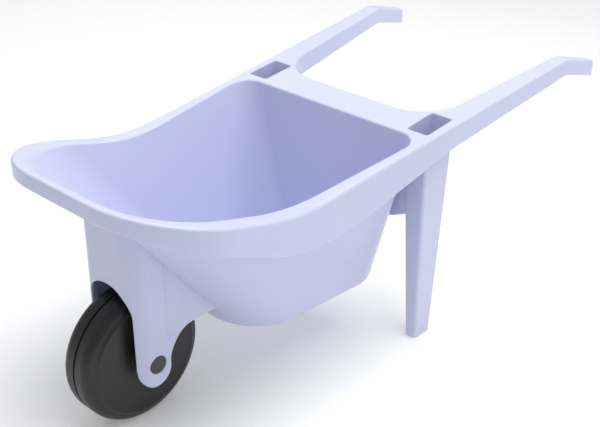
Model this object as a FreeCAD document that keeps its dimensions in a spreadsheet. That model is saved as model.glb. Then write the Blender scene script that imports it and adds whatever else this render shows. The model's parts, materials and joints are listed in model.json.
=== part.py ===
"""Child's garden cart: one moulded body on one plastic wheel.

Frame: millimetres, +Z up, ground at z = 0, origin under the middle of the overall length.
The wheel is at -X, the handle grips at +X, left is +Y and right is -Y.
"""
import FreeCAD, Part
import os
import Sketcher

Vector = FreeCAD.Vector
doc = FreeCAD.newDocument("GardenCart")

# ---------------------------------------------------------------- driving dimensions
SIZES = [
    # overall
    ("cart_length", 748),         # front of the wheel to the tips of the handles
    ("rim_spread", 305),          # over the rim beside the tub
    ("handle_flare", 19),         # each tip stands this much further out than the rim
    ("wheel_diameter", 162),
    ("wall", 3),                  # thickness of the moulding
    # deck: the top surface that the rim, rail and handles share
    ("deck_over_wheel", 115.9),   # top of the wheel to the deck at the origin
    ("deck_rise", 6.1),           # degrees, up towards the handles
    ("lip_length", 195.6),        # front of the lip to where the deck turns up to it
    ("lip_rise", 15),             # degrees, up towards the front
    ("dip_radius", 250),
    ("lip_setback", 4),           # front of the wheel to the front of the lip
    ("lip_corner", 105),
    ("lip_seam", 120),            # front of the lip to the start of the side rims
    ("waist_length", 258),        # front of the lip to where the sides start to spread
    ("rim_ledge", 3),             # outside of the tub to the outside of the rim
    # handles and rear rail
    ("bend_place", 306),
    ("bend_radius", 30),
    ("droop", 15.6),              # degrees, the grips below the level
    ("handle_width", 23.5),       # at the bend
    ("tip_width", 17),
    ("tip_corner", 7),
    ("leg_overhang", 14.8),       # top of a leg behind the rear edge of the rail
    ("rail_ledge", 10),           # inside of a leg to the inside of the handle beside it
    ("rail_corner", 60),
    # lower edge of the skirt round the rim and the handles, below the deck
    ("skirt_lip_drop", 19.3),       # at the front of the lip
    ("skirt_front_slope", 22.9),  # degrees, down towards the middle of the tub
    ("skirt_low_drop", 65.9),     # below the deck's height at the origin
    ("skirt_rear_slope", 14.1),
    ("skirt_low_end", 270.7),     # front of the lip to the end of the lowest stretch
    ("skirt_bend_drop", 22.5),
    ("skirt_tip_drop", 21.3),
    ("skirt_radius", 200),
    ("skirt_bend_radius", 15),
    # tub
    ("floor_height", 68),
    ("floor_rear", 31.3),
    ("wheel_room", 5.3),          # between the wheel and the front wall
    ("floor_taper", 3.15),        # degrees, each side, narrower towards the front
    ("side_draft", 15.1),         # degrees from upright
    ("rear_draft", 0.5),
    ("scoop_angle", 52.2),        # degrees of the front wall above the level
    ("rear_corner_low", 36),
    ("rear_corner_high", 28),
    ("scoop_corner_low", 75),
    ("scoop_corner_high", 95),
    ("floor_corner", 25),
    # legs
    ("leg_setback", 4.8),         # rear of the tub to the front of a leg
    ("leg_inset", 2.5),           # outside of the rim to the outside of a leg's top
    ("leg_lean", 1.8),            # a foot stands this much further in
    ("leg_top_length", 52.5),
    ("leg_top_width", 35),
    ("leg_foot_length", 29.6),
    ("leg_foot_width", 16.3),
    ("leg_wall", 2.5),
    ("leg_corner", 4),
    # apron between the legs, under the rail
    ("apron_height", 142),        # lower edge, in the middle of the cart
    ("apron_arc", 280),
    ("apron_setback", 1),         # front of the legs to the front of the apron
    # wheel fork
    ("fork_half", 46),            # middle of the cart to the outside of a cheek
    ("fork_corner", 22),
    ("arch_margin", 10),           # outside of a cheek to the side of the arch
    ("arch_room", 16.5),            # above the wheel
    ("arch_corner", 34),
    ("fork_reach", 27),           # axle to the front of the fork
    ("ear_radius", 20.5),
    ("ear_drop", 7),              # axle to the middle of the ear
    ("web_rise", 32.5),             # axle to the lower edge of the cheek behind the ear
    ("web_start", 18),            # axle to the front of the hollow behind the ear
    ("web_hollow", 37.5),           # radius of that hollow
    ("web_step", 1.5),            # the cheek behind the pillar lies this much further in
    ("pillar_length", 44),
    ("boss_radius", 14.2),
    # axle and wheel
    ("axle_radius", 7),
    ("axle_head_radius", 11),
    ("axle_head_length", 4),
    ("seat_gap", 0.1),            # round a head in its seat
    ("running_gap", 0.06),        # between the axle and the hub, on the radius
    ("side_gap", 0.5),            # between the hub and a boss
    ("hub_radius", 13),
    ("disc_half", 25.2),          # middle of the wheel to the face of a disc
    ("tread_depth", 13),          # edge of a disc to the tread
    ("crown_half", 11),           # middle of the tread to the start of its shoulder
    ("groove_half", 1.2),
    ("groove_depth", 2),
    ("shell", 3),                 # thickness of a wheel half
]

sheet = doc.addObject("Spreadsheet::Sheet", "Sizes")
for row, (alias, value) in enumerate(SIZES, start=1):
    sheet.set(f"A{row}", alias)
    sheet.set(f"B{row}", str(value))
    sheet.setAlias(f"B{row}", alias)
doc.recompute()

# ---------------------------------------------------------------- shared expressions
REACH = "600"                     # longer than half the cart, for blanks that are cut down
CEILING = "700"                   # higher than the cart
OVERLAP = "1"                     # how far a cutter or a blank runs past what it meets


def size(name):
    return f"Sizes.{name}"


TIP = "Sizes.cart_length / 2"
WHEEL = "Sizes.wheel_diameter / 2"
AXLE_X = f"({WHEEL} - {TIP})"
AXLE_Z = WHEEL
LIP = f"(Sizes.lip_setback - {TIP})"
SPLIT_FRONT = f"({LIP} + Sizes.lip_seam)"
DIP = f"({LIP} + Sizes.lip_length)"
DECK_HEIGHT = "(Sizes.wheel_diameter + Sizes.deck_over_wheel)"
BLANK_TOP = f"({DECK_HEIGHT} + 66)"


def deck_z(x):
    """Height of the rear stretch of the deck at x."""
    return f"({DECK_HEIGHT} + ({x}) * tan(Sizes.deck_rise))"


def lip_z(x):
    """Height of the front stretch of the deck at x."""
    return f"({deck_z(DIP)} + ({DIP} - ({x})) * tan(Sizes.lip_rise))"


def grip_z(x):
    """Height of the drooping stretch of the deck at x."""
    return f"({deck_z(size('bend_place'))} - (({x}) - Sizes.bend_place) * tan(Sizes.droop))"


# the tub's rear wall meets the rail, its side walls the rim and its front wall clears the wheel
TUB_DEPTH = f"({DECK_HEIGHT} - Sizes.floor_height)"
RAIL_FRONT = f"(Sizes.floor_rear + {TUB_DEPTH} * tan(Sizes.rear_draft))"
FLOOR_FRONT = (f"({AXLE_X} + ({WHEEL} + Sizes.wheel_room + ({AXLE_Z} - Sizes.floor_height)"
               " * cos(Sizes.scoop_angle)) / sin(Sizes.scoop_angle))")
FLOOR_HALF = f"(Sizes.rim_spread / 2 - Sizes.rim_ledge - {TUB_DEPTH} * tan(Sizes.side_draft))"
LEG_FRONT = f"({RAIL_FRONT} + Sizes.leg_setback)"
LEG_OUTSIDE = "(Sizes.rim_spread / 2 - Sizes.leg_inset)"
LEG_INSIDE = f"({LEG_OUTSIDE} - Sizes.leg_top_width)"
RAIL_REAR = f"({LEG_FRONT} + Sizes.leg_top_length - Sizes.leg_overhang)"
RAIL_HALF = f"({LEG_INSIDE} + Sizes.rail_ledge)"
FORK_FRONT = f"({AXLE_X} - Sizes.fork_reach)"
EAR = (f"({AXLE_X} + Sizes.web_start - Sizes.ear_radius)", f"({AXLE_Z} - Sizes.ear_drop)")
BOSS_FACE = "(Sizes.fork_half - Sizes.arch_margin)"
SHANK_END = "(Sizes.fork_half - Sizes.axle_head_length)"
WEB_Z = f"({AXLE_Z} + Sizes.web_rise)"


# ---------------------------------------------------------------- modelling helpers
def draw(body, plane, corners, height=None):
    """A closed outline of straight lines whose corners are pairs of expressions."""
    sketch = body.newObject("Sketcher::SketchObject", body.Name + "Outline")
    support = [item for item in body.Origin.OriginFeatures if item.Role == plane + "_Plane"]
    sketch.AttachmentSupport = (support[0], [""])
    sketch.MapMode = "FlatFace"
    if height:
        sketch.setExpression("AttachmentOffset.Base.z", height)
    points = [[float(sketch.evalExpression(value)) for value in corner] for corner in corners]
    count = len(corners)
    for index in range(count):
        start, end = points[index], points[(index + 1) % count]
        sketch.addGeometry(Part.LineSegment(Vector(*start, 0), Vector(*end, 0)), False)
    for index in range(count):
        sketch.addConstraint(Sketcher.Constraint("Coincident", index, 2, (index + 1) % count, 1))
    for index, corner in enumerate(corners):
        for kind, expression, value in zip(("DistanceX", "DistanceY"), corner, points[index]):
            number = sketch.addConstraint(
                Sketcher.Constraint(kind, -1, 1, index, 1, value))
            sketch.setExpression(f"Constraints[{number}]", expression)
    return sketch


def prism(name, plane, corners, length, height=None):
    """A body padded from one outline: upwards from XY, to both sides of XZ."""
    body = doc.addObject("PartDesign::Body", name)
    pad = body.newObject("PartDesign::Pad", name + "Pad")
    pad.Profile = draw(body, plane, corners, height)
    pad.setExpression("Length", length)
    if plane == "XZ":
        pad.SideType = "Symmetric"
    doc.recompute()
    return body


def frustum(name, lower, upper, corners, floor_radius=None):
    """A solid between two level outlines of four corners, with flat faces and rounded edges.

    An outline is a list of corners and a height. A rounded corner is its radius at the lower
    outline, its radius at the upper one and a test for its edge.
    """
    rings = [[Vector(value(x), value(y), value(height)) for x, y in outline]
             for outline, height in (lower, upper)]
    loops = [rings[0][::-1], rings[1]]
    for index in range(4):
        other = (index + 1) % 4
        loops.append([rings[0][index], rings[0][other], rings[1][other], rings[1][index]])
    faces = [Part.Face(Part.makePolygon(loop + loop[:1])) for loop in loops]
    shape = Part.makeSolid(Part.makeShell(faces))
    for low, high, test in corners:
        edge = shape.getElement(edges_where(shape, test)[0])
        upwards = edge.valueAt(edge.LastParameter).z > edge.valueAt(edge.FirstParameter).z
        radii = (value(low), value(high)) if upwards else (value(high), value(low))
        shape = shape.makeFillet(*radii, [edge])
    if floor_radius:
        floor = rings[0][0].z
        edges = edges_where(shape, lambda place, ends: abs(place.z - floor) < 0.01)
        shape = shape.makeFillet(value(floor_radius), [shape.getElement(edge) for edge in edges])
    item = doc.addObject("Part::Feature", name)
    item.Shape = shape
    return item


def edges_where(shape, test):
    """Names of the edges whose middle point and direction pass the test."""
    found = []
    for number, edge in enumerate(shape.Edges, start=1):
        middle = edge.valueAt((edge.FirstParameter + edge.LastParameter) / 2)
        ends = edge.valueAt(edge.LastParameter) - edge.valueAt(edge.FirstParameter)
        if test(middle, ends):
            found.append(f"Edge{number}")
    return found


def soften(body, radius, test):
    """Round the edges of a body that pass the test."""
    edges = edges_where(body.Shape, test)
    if not edges:
        raise RuntimeError("no edge to round on " + body.Name)
    base = body.Tip
    fillet = body.newObject("PartDesign::Fillet", body.Name + "Round")
    fillet.Base = (base, edges)
    fillet.setExpression("Radius", radius)
    body.Tip = fillet
    doc.recompute()
    return body


def value(expression):
    return float(sheet.evalExpression(expression))


def near_x(place, expression, reach=0.5):
    return abs(place.x - value(expression)) < reach


def slanted(ends):
    """True for an edge between the floor and the top of a blank."""
    return abs(ends.z) > 50


def along(ends, axis):
    """True for an edge that runs along one axis."""
    return abs(ends[axis]) > 0.9 * ends.Length


def boolean(kind, name, *items):
    """Part::Cut of two objects, or Part::MultiCommon or Part::MultiFuse of several."""
    item = doc.addObject("Part::" + kind, name)
    if kind == "Cut":
        item.Base, item.Tool = items
    else:
        item.Shapes = list(items)
    doc.recompute()
    return item


def cut(name, base, tool):
    return boolean("Cut", name, base, tool)


def common(name, *items):
    return boolean("MultiCommon", name, *items)


def fuse(name, *items):
    return boolean("MultiFuse", name, *items)


def box(name, low, high):
    """A Part::Box between two corners given as expressions."""
    item = doc.addObject("Part::Box", name)
    for axis, side, start, end in zip("xyz", ("Length", "Width", "Height"), low, high):
        item.setExpression(f"Placement.Base.{axis}", start)
        item.setExpression(side, f"({end}) - ({start})")
    doc.recompute()
    return item


def across(name, radius, start, end, middle=(AXLE_X, AXLE_Z)):
    """A Part::Cylinder along Y, on the axle's line if not told, between two places in Y."""
    item = doc.addObject("Part::Cylinder", name)
    item.Placement.Rotation = FreeCAD.Rotation(Vector(1, 0, 0), -90)
    item.setExpression("Radius", radius)
    item.setExpression("Height", f"({end}) - ({start})")
    item.setExpression("Placement.Base.x", middle[0])
    item.setExpression("Placement.Base.y", start)
    item.setExpression("Placement.Base.z", middle[1])
    doc.recompute()
    return item


nodes = []


def publish(item, label):
    """Name a finished sub-part; its label is its file's name."""
    item.Label = label
    nodes.append(item)
    return item


def mirrored(corners):
    """An outline given on its right half, completed on its left half."""
    return corners + [(x, f"-({y})") for x, y in reversed(corners)]


# ---------------------------------------------------------------- blanks for the moulding
def deck_block(name, drop):
    """Everything below the deck, lowered by drop."""
    bend = size("bend_place")
    corners = [
        (f"-{REACH}", f"{lip_z('-' + REACH)} - {drop}"),
        (DIP, f"{deck_z(DIP)} - {drop}"),
        (bend, f"{deck_z(bend)} - {drop}"),
        (REACH, f"{grip_z(REACH)} - {drop}"),
        (REACH, "0"),
        (f"-{REACH}", "0"),
    ]
    body = prism(name, "XZ", corners, REACH)
    for place, radius in ((DIP, "dip_radius"), (bend, "bend_radius")):
        soften(body, size(radius),
               lambda middle, ends: near_x(middle, place) and middle.z > 100)
    return body


def plan_block(name, inset):
    """The outline seen from above: lip, sides, handles and rail, made smaller by inset."""
    side = f"Sizes.rim_spread / 2 - {inset}"
    spread = f"(Sizes.rim_spread / 2 + Sizes.handle_flare) - {inset}"
    front, rail, tip = f"{LIP} + {inset}", f"{RAIL_REAR} - {inset}", f"{TIP} - {inset}"
    right = [
        (front, f"-({side})"),
        (f"{LIP} + Sizes.waist_length", f"-({side})"),
        (tip, f"-({spread})"),
        (tip, f"-((Sizes.rim_spread / 2 + Sizes.handle_flare) - Sizes.tip_width + {inset})"),
        (size("bend_place"), f"-((Sizes.rim_spread / 2 + Sizes.handle_flare) - Sizes.handle_width + {inset})"),
        (rail, f"-({RAIL_HALF} + {inset})"),
    ]
    body = prism(name, "XY", mirrored(right), REACH)
    for place, radius in ((front, f"Sizes.lip_corner - {inset}"),
                          (rail, f"Sizes.rail_corner + {inset}"),
                          (tip, f"Sizes.tip_corner - {inset} / 2")):
        soften(body, radius, lambda middle, ends: near_x(middle, place) and along(ends, 2))
    return body


def tub_section(height, inset, scoop_inset, side_inset):
    """The tub's outline at a height, made smaller by the insets."""
    above = f"({height} - Sizes.floor_height)"
    rear = f"Sizes.floor_rear + {above} * tan(Sizes.rear_draft) - {inset}"
    front = f"{FLOOR_FRONT} - {above} / tan(Sizes.scoop_angle) + {scoop_inset}"
    half = f"({FLOOR_HALF} + {above} * tan(Sizes.side_draft) - {side_inset})"
    rear_half = f"({half} + ({rear} - Sizes.floor_rear) * tan(Sizes.floor_taper))"
    front_half = f"({half} + ({front} - Sizes.floor_rear) * tan(Sizes.floor_taper))"
    return [(front, f"-{front_half}"), (rear, f"-{rear_half}"),
            (rear, rear_half), (front, front_half)]


def tub_block(name, wall):
    """The tub as a solid, made smaller all round by wall."""
    def corner(front, left):
        middle = value(f"(Sizes.floor_rear + {FLOOR_FRONT}) / 2")
        word = "scoop" if front else "rear"
        return (f"Sizes.{word}_corner_low - {wall}", f"Sizes.{word}_corner_high - {wall}",
                lambda place, ends: slanted(ends) and (place.x < middle) == front
                and (place.y > 0) == left)

    insets = (wall, f"{wall} / sin(Sizes.scoop_angle)", f"{wall} / cos(Sizes.side_draft)")
    floor = f"Sizes.floor_height + {wall}"
    lower = (tub_section(f"({floor})", *insets), floor)
    upper = (tub_section(BLANK_TOP, *insets), BLANK_TOP)
    corners = [corner(front, left) for front in (False, True) for left in (True, False)]
    return frustum(name, lower, upper, corners, f"Sizes.floor_corner - {wall}")


deck = deck_block("DeckTop", "0")
deck_under = deck_block("DeckUnder", size("wall"))
plan = plan_block("Plan", "0")
plan_inside = plan_block("PlanInside", size("wall"))
tub_outside = tub_block("TubOutside", "0")
tub_inside = tub_block("TubInside", size("wall"))


# ---------------------------------------------------------------- deck: rim, rail and handles
def skirt_block():
    """Everything above the lower edge of the skirt."""
    slope = "tan(Sizes.skirt_front_slope)"
    front_z = f"({lip_z(LIP)} - Sizes.skirt_lip_drop)"
    low_z = f"({DECK_HEIGHT} - Sizes.skirt_low_drop)"
    front_end = f"({LIP} + ({front_z} - {low_z}) / {slope})"
    low_end = f"({LIP} + Sizes.skirt_low_end)"
    bend = size("bend_place")
    tip_z = f"{grip_z(TIP)} - Sizes.skirt_tip_drop"
    corners = [
        (f"-{REACH}", f"{front_z} + ({LIP} + {REACH}) * {slope}"),
        (front_end, low_z),
        (low_end, low_z),
        (RAIL_REAR, f"{low_z} + ({RAIL_REAR} - {low_end}) * tan(Sizes.skirt_rear_slope)"),
        (bend, f"{deck_z(bend)} - Sizes.skirt_bend_drop"),
        (TIP, tip_z),
        (REACH, tip_z),
        (REACH, CEILING),
        (f"-{REACH}", CEILING),
    ]
    body = prism("AboveSkirt", "XZ", corners, REACH)
    for place, radius in ((front_end, "skirt_radius"), (low_end, "skirt_radius"),
                          (bend, "skirt_bend_radius")):
        soften(body, size(radius), lambda middle, ends: near_x(middle, place)
               and middle.z < value(CEILING) / 2 and along(ends, 1))
    return body


cap = common("Cap", plan, deck)
cap_inside = common("CapInside", plan_inside, deck_under)
hollow_cap = cut("HollowCap", cap, cap_inside)
deck_shell = cut("DeckShell", common("DeckTrimmed", hollow_cap, skirt_block()), tub_outside)


# ---------------------------------------------------------------- legs
def leg_block(name, inset, floor, side):
    """One leg as a solid, tapered downwards, made smaller all round by inset."""
    def outline(height):
        share = f"({height}) / {DECK_HEIGHT}"
        length, width = (f"(Sizes.leg_foot_{way} + (Sizes.leg_top_{way} - Sizes.leg_foot_{way})"
                         f" * {share})" for way in ("length", "width"))
        outside = f"({LEG_OUTSIDE} - Sizes.leg_lean * (1 - {share}))"
        near = f"{side} * ({outside} - {width} + {inset})"
        far = f"{side} * ({outside} - {inset})"
        front, rear = f"{LEG_FRONT} + {inset}", f"{LEG_FRONT} + {length} - {inset}"
        corners = [(front, near), (rear, near), (rear, far), (front, far)]
        return corners if side == "1" else corners[::-1]

    body = frustum(name, (outline(floor), floor), (outline(BLANK_TOP), BLANK_TOP), [])
    radius = value(f"Sizes.leg_corner - {inset} / 2")
    shape = body.Shape
    uprights = [shape.getElement(edge) for edge in
                edges_where(shape, lambda place, ends: slanted(ends))]
    body.Shape = shape.makeFillet(radius, uprights)
    return body


# ---------------------------------------------------------------- wheel fork
def fork_channel():
    """The fork seen from above: a front plate with rounded corners and two cheeks."""
    def outline(inset):
        front, half = f"{FORK_FRONT} + {inset}", f"(Sizes.fork_half - {inset})"
        return [(front, f"-{half}"), ("0", f"-{half}"), ("0", half), (front, half)]

    blocks = []
    for name, inset in (("ForkOutside", "0"), ("ForkInside", size("wall"))):
        block = prism(name, "XY", outline(inset), REACH)
        soften(block, f"Sizes.fork_corner - {inset}", lambda place, ends: along(ends, 2)
               and near_x(place, f"{FORK_FRONT} + {inset}"))
        blocks.append(block)
    return cut("ForkChannel", *blocks)


def fork_side():
    """The fork seen from the side: the pillar and the web, with a hollow between them."""
    start = f"({AXLE_X} + Sizes.web_start)"
    body = prism("ForkSide", "XZ", [
        (FORK_FRONT, EAR[1]), (start, EAR[1]), (start, WEB_Z),
        ("0", WEB_Z), ("0", CEILING), (FORK_FRONT, CEILING),
    ], REACH)
    return soften(body, size("web_hollow"), lambda place, ends: near_x(place, start)
                  and along(ends, 1) and abs(place.z - value(WEB_Z)) < 1)


def arch():
    """The opening in the front plate that the wheel stands in."""
    depth = f"{FORK_FRONT} + Sizes.fork_corner"
    body = prism("Arch", "XY", [
        (f"-{REACH}", f"-{BOSS_FACE}"), (depth, f"-{BOSS_FACE}"),
        (depth, BOSS_FACE), (f"-{REACH}", BOSS_FACE),
    ], "Sizes.wheel_diameter + Sizes.arch_room")
    return soften(body, size("arch_corner"), lambda place, ends: along(ends, 0)
                  and place.z > value("Sizes.wheel_diameter"))


def both_sides(maker, name, low, high):
    """One piece between two places in Y and its mirror image."""
    return [maker(name + "Left", low, high), maker(name + "Right", f"-({high})", f"-({low})")]


def fork_shell():
    """The whole fork, cut to the underside of the tub and bored for the axle."""
    half = size("fork_half")
    channel = fork_channel()
    steps = both_sides(
        lambda name, low, high: box(name, (f"{FORK_FRONT} + Sizes.pillar_length", low, "0"),
                                    ("0", high, CEILING)),
        "Step", f"{half} - Sizes.web_step", half)
    sided = cut("ForkSided", common("ForkTrimmed", channel, fork_side(), deck_under),
                fuse("Steps", *steps))
    ears = common("Ears", channel, across("EarBlank", size("ear_radius"), f"-{half}", half, EAR))
    bosses = both_sides(lambda name, low, high: across(name, size("boss_radius"), low, high),
                        "Boss", BOSS_FACE, f"{half} - {OVERLAP}")
    seats = both_sides(
        lambda name, low, high: across(name, "Sizes.axle_head_radius + Sizes.seat_gap", low, high),
        "Seat", SHANK_END, f"{half} + {OVERLAP}")
    bore = across("AxleBore", size("axle_radius"), f"-{half}", half)
    blank = fuse("ForkBlank", cut("ForkOpen", fuse("ForkJoined", sided, ears), arch()), *bosses)
    return cut("ForkShell", blank, fuse("ForkCuts", tub_outside, bore, *seats))


# ---------------------------------------------------------------- the moulding, region by region
fork = fork_shell()
tub_shell = common("TubShell", cut("TubBlank", tub_outside, tub_inside), deck)
legs = {side: leg_block("LegOutside" + word, "0", "0", side)
        for side, word in (("1", "Left"), ("-1", "Right"))}
wells = {side: leg_block("LegInside" + word, size("leg_wall"), size("leg_wall"), side)
         for side, word in (("1", "Left"), ("-1", "Right"))}
leg_holes = fuse("LegHoles", *wells.values())
deck_open = cut("DeckOpen", deck_shell, leg_holes)

SPLIT_RAIL = f"({LEG_INSIDE} - Sizes.wall)"
FAR_LOW = (f"-{REACH}", f"-{REACH}", f"-{OVERLAP}")
FAR_HIGH = (REACH, REACH, CEILING)


def region(label, base, low=(None, None, None), high=(None, None, None)):
    """Publish the part of a shell that lies in a box; None means without limit."""
    low = [given or far for given, far in zip(low, FAR_LOW)]
    high = [given or far for given, far in zip(high, FAR_HIGH)]
    return publish(common(label + "Region", base, box(label + "Box", low, high)), label)


region("front_lip", deck_open, high=(SPLIT_FRONT, None, None))
region("rear_rail", deck_open, (RAIL_FRONT, f"-{SPLIT_RAIL}", None), (None, SPLIT_RAIL, None))
for word, low, high, rail_low, rail_high in (
        ("left", "0", None, SPLIT_RAIL, None), ("right", None, "0", None, f"-{SPLIT_RAIL}")):
    region(f"{word}_rim", deck_open, (SPLIT_FRONT, low, None), (RAIL_FRONT, high, None))
    region(f"{word}_handle", deck_open, (RAIL_FRONT, rail_low, None), (None, rail_high, None))

# legs, from the underside of the deck to the ground
for side, word in (("1", "left"), ("-1", "right")):
    solid = cut(word + "LegHollow", common(word + "LegTall", legs[side], deck_under), wells[side])
    publish(cut(word + "LegClear", solid, tub_outside), word + "_leg")

# apron between the legs, with an arched lower edge
apron_arc = doc.addObject("Part::Cylinder", "ApronArc")
apron_arc.Placement.Rotation = FreeCAD.Rotation(Vector(0, 1, 0), 90)
apron_arc.setExpression("Radius", size("apron_arc"))
apron_arc.setExpression("Height", REACH)
apron_arc.setExpression("Placement.Base.z", "Sizes.apron_height + Sizes.apron_arc")
doc.recompute()
apron_front = f"{LEG_FRONT} + Sizes.apron_setback"
apron_plate = box("ApronPlate", (apron_front, f"-{LEG_OUTSIDE}", "0"),
                  (f"{apron_front} + Sizes.leg_wall", LEG_OUTSIDE, CEILING))
apron_body = common("ApronBody", apron_plate, apron_arc, deck_under)
apron_clear = cut("ApronClear", apron_body, fuse("ApronCuts", tub_outside, *legs.values()))
between_legs = box("BetweenLegs", (f"-{REACH}", f"-{LEG_OUTSIDE} + Sizes.leg_foot_width", "0"),
                   (REACH, f"{LEG_OUTSIDE} - Sizes.leg_foot_width", CEILING))
publish(common("Apron", apron_clear, between_legs), "rear_apron")

# tub, in five walls
rear_seam = "Sizes.floor_rear - Sizes.rear_corner_low"
scoop_seam = f"({FLOOR_FRONT} + Sizes.scoop_corner_low / sin(Sizes.scoop_angle))"
floor_side = (f"({FLOOR_HALF} - (Sizes.floor_rear - {FLOOR_FRONT}) * tan(Sizes.floor_taper)"
              " - Sizes.floor_corner)")
floor_slab = box("FloorSlab", (f"{FLOOR_FRONT} + Sizes.floor_corner", f"-{floor_side}", "0"),
                 (rear_seam, floor_side, "Sizes.floor_height + Sizes.wall"))
publish(common("TubFloor", tub_shell, floor_slab), "tub_floor")
walls = cut("TubWalls", tub_shell, floor_slab)
rear_half = box("RearHalf", (rear_seam, *FAR_LOW[1:]), FAR_HIGH)
publish(common("TubRear", walls, rear_half), "tub_rear_wall")
slope = "tan(Sizes.scoop_angle)"
scoop_half = prism("ScoopHalf", "XZ", [
    (f"{scoop_seam} + Sizes.floor_height / {slope}", "0"),
    (f"{scoop_seam} - ({CEILING} - Sizes.floor_height) / {slope}", CEILING),
    (f"-2 * {REACH}", CEILING), (f"-2 * {REACH}", "0"),
], REACH)
publish(common("TubScoop", walls, scoop_half), "tub_front_scoop")
sides = cut("TubSides", walls, fuse("TubEnds", rear_half, scoop_half))
region("left_tub_side", sides, low=(None, "0", None))
region("right_tub_side", sides, high=(None, "0", None))

# fork: a front plate between two cheeks
region("fork_front_plate", fork, (None, f"-{BOSS_FACE}", None), (None, BOSS_FACE, None))
region("left_fork_cheek", fork, low=(None, BOSS_FACE, None))
region("right_fork_cheek", fork, high=(None, f"-{BOSS_FACE}", None))

# ---------------------------------------------------------------- axle
pin = fuse("AxlePin",
           across("AxleShank", size("axle_radius"), f"-{SHANK_END}", f"Sizes.fork_half - {OVERLAP}"),
           across("AxleHead", size("axle_head_radius"), "-Sizes.fork_half", f"-{SHANK_END}"))
publish(pin, "axle_pin")
cap_blank = across("AxleCapBlank", size("axle_head_radius"), SHANK_END, size("fork_half"))
publish(cut("AxleCap", cap_blank, pin), "axle_end_cap")

# ---------------------------------------------------------------- wheel
HUB_END = f"({BOSS_FACE} - Sizes.side_gap)"
hub = cut("Hub", across("HubOutside", size("hub_radius"), f"-{HUB_END}", HUB_END),
          across("HubBore", "Sizes.axle_radius + Sizes.running_gap", f"-{HUB_END}", HUB_END))
publish(hub, "wheel_hub")


def wheel_half(word, side):
    """One moulded half of the wheel: half the tread, a rounded shoulder and a disc."""
    body = doc.addObject("PartDesign::Body", word + "WheelHalf")
    middle, face = f"{side} * 0", f"{side} * Sizes.disc_half"
    disc = f"({WHEEL} - Sizes.tread_depth)"
    groove = f"{WHEEL} - Sizes.groove_depth"
    outside = [
        (size("hub_radius"), face),
        (disc, face),
        (f"{WHEEL} - Sizes.wall / 2", f"{side} * (Sizes.crown_half + Sizes.disc_half) / 2"),
        (WHEEL, f"{side} * Sizes.crown_half"),
        (WHEEL, f"{side} * Sizes.groove_half"),
        (groove, f"{side} * Sizes.groove_half"),
        (groove, middle),
        (f"{groove} - Sizes.shell", middle),
        (f"{disc} - Sizes.shell", f"{side} * (Sizes.disc_half - 2 * Sizes.shell)"),
        (f"{disc} - Sizes.shell", f"{side} * (Sizes.disc_half - Sizes.shell)"),
        (size("hub_radius"), f"{side} * (Sizes.disc_half - Sizes.shell)"),
    ]
    profile = draw(body, "XY", outside)
    turn = body.newObject("PartDesign::Revolution", word + "WheelTurn")
    turn.Profile = profile
    axis = [item for item in body.Origin.OriginFeatures if item.Role == "Y_Axis"]
    turn.ReferenceAxis = (axis[0], [""])
    turn.Angle = 360
    body.setExpression("Placement.Base.x", AXLE_X)
    body.setExpression("Placement.Base.z", AXLE_Z)
    doc.recompute()
    return body


for word, side in (("left", "1"), ("right", "-1")):
    publish(wheel_half(word, side), word + "_wheel_half")

# ---------------------------------------------------------------- checks and export
doc.recompute()
for item in doc.Objects:
    if "Invalid" in item.State or "Error" in item.State:
        raise RuntimeError(f"{item.Name} did not compute: {item.State}")
for item in nodes:
    shape = item.Shape
    if shape.isNull() or not shape.isValid() or len(shape.Solids) != 1:
        raise RuntimeError(f"{item.Label}: {len(shape.Solids)} solids, valid {shape.isValid()}")

os.makedirs("parts", exist_ok=True)
for item in nodes:
    item.Shape.exportStep(f"parts/{item.Label}.step")
    print(f"{item.Label:20s} {item.Shape.Volume / 1000:9.2f} cm3")
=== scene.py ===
import json
import math

import bmesh
import bpy
import numpy as np
from bpy.props import FloatProperty, FloatVectorProperty, IntProperty, PointerProperty
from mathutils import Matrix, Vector


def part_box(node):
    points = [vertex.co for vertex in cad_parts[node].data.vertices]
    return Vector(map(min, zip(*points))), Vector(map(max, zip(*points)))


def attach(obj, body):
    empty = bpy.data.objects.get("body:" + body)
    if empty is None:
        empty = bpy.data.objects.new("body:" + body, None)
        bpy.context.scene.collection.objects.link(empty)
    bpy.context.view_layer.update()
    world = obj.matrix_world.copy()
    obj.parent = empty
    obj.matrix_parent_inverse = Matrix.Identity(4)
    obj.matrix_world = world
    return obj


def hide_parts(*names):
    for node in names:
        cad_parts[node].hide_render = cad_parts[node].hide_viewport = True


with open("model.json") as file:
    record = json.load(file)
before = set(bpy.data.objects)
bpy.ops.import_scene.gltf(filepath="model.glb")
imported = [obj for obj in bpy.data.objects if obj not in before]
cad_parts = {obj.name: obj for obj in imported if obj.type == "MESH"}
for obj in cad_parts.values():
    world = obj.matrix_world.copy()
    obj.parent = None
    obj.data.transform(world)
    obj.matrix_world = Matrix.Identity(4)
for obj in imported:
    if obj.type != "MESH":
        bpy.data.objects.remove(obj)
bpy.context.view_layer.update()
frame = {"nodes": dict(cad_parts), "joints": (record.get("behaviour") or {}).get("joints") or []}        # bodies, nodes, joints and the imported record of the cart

bl_info = {
    "name": "Garden Cart",
    "version": (1, 0, 0),
    "blender": (4, 5, 0),
    "location": "View3D > Sidebar > Cart",
    "description": "A child's one-wheeled garden cart, moulded in one piece with a black wheel",
    "category": "Object",
}

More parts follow.
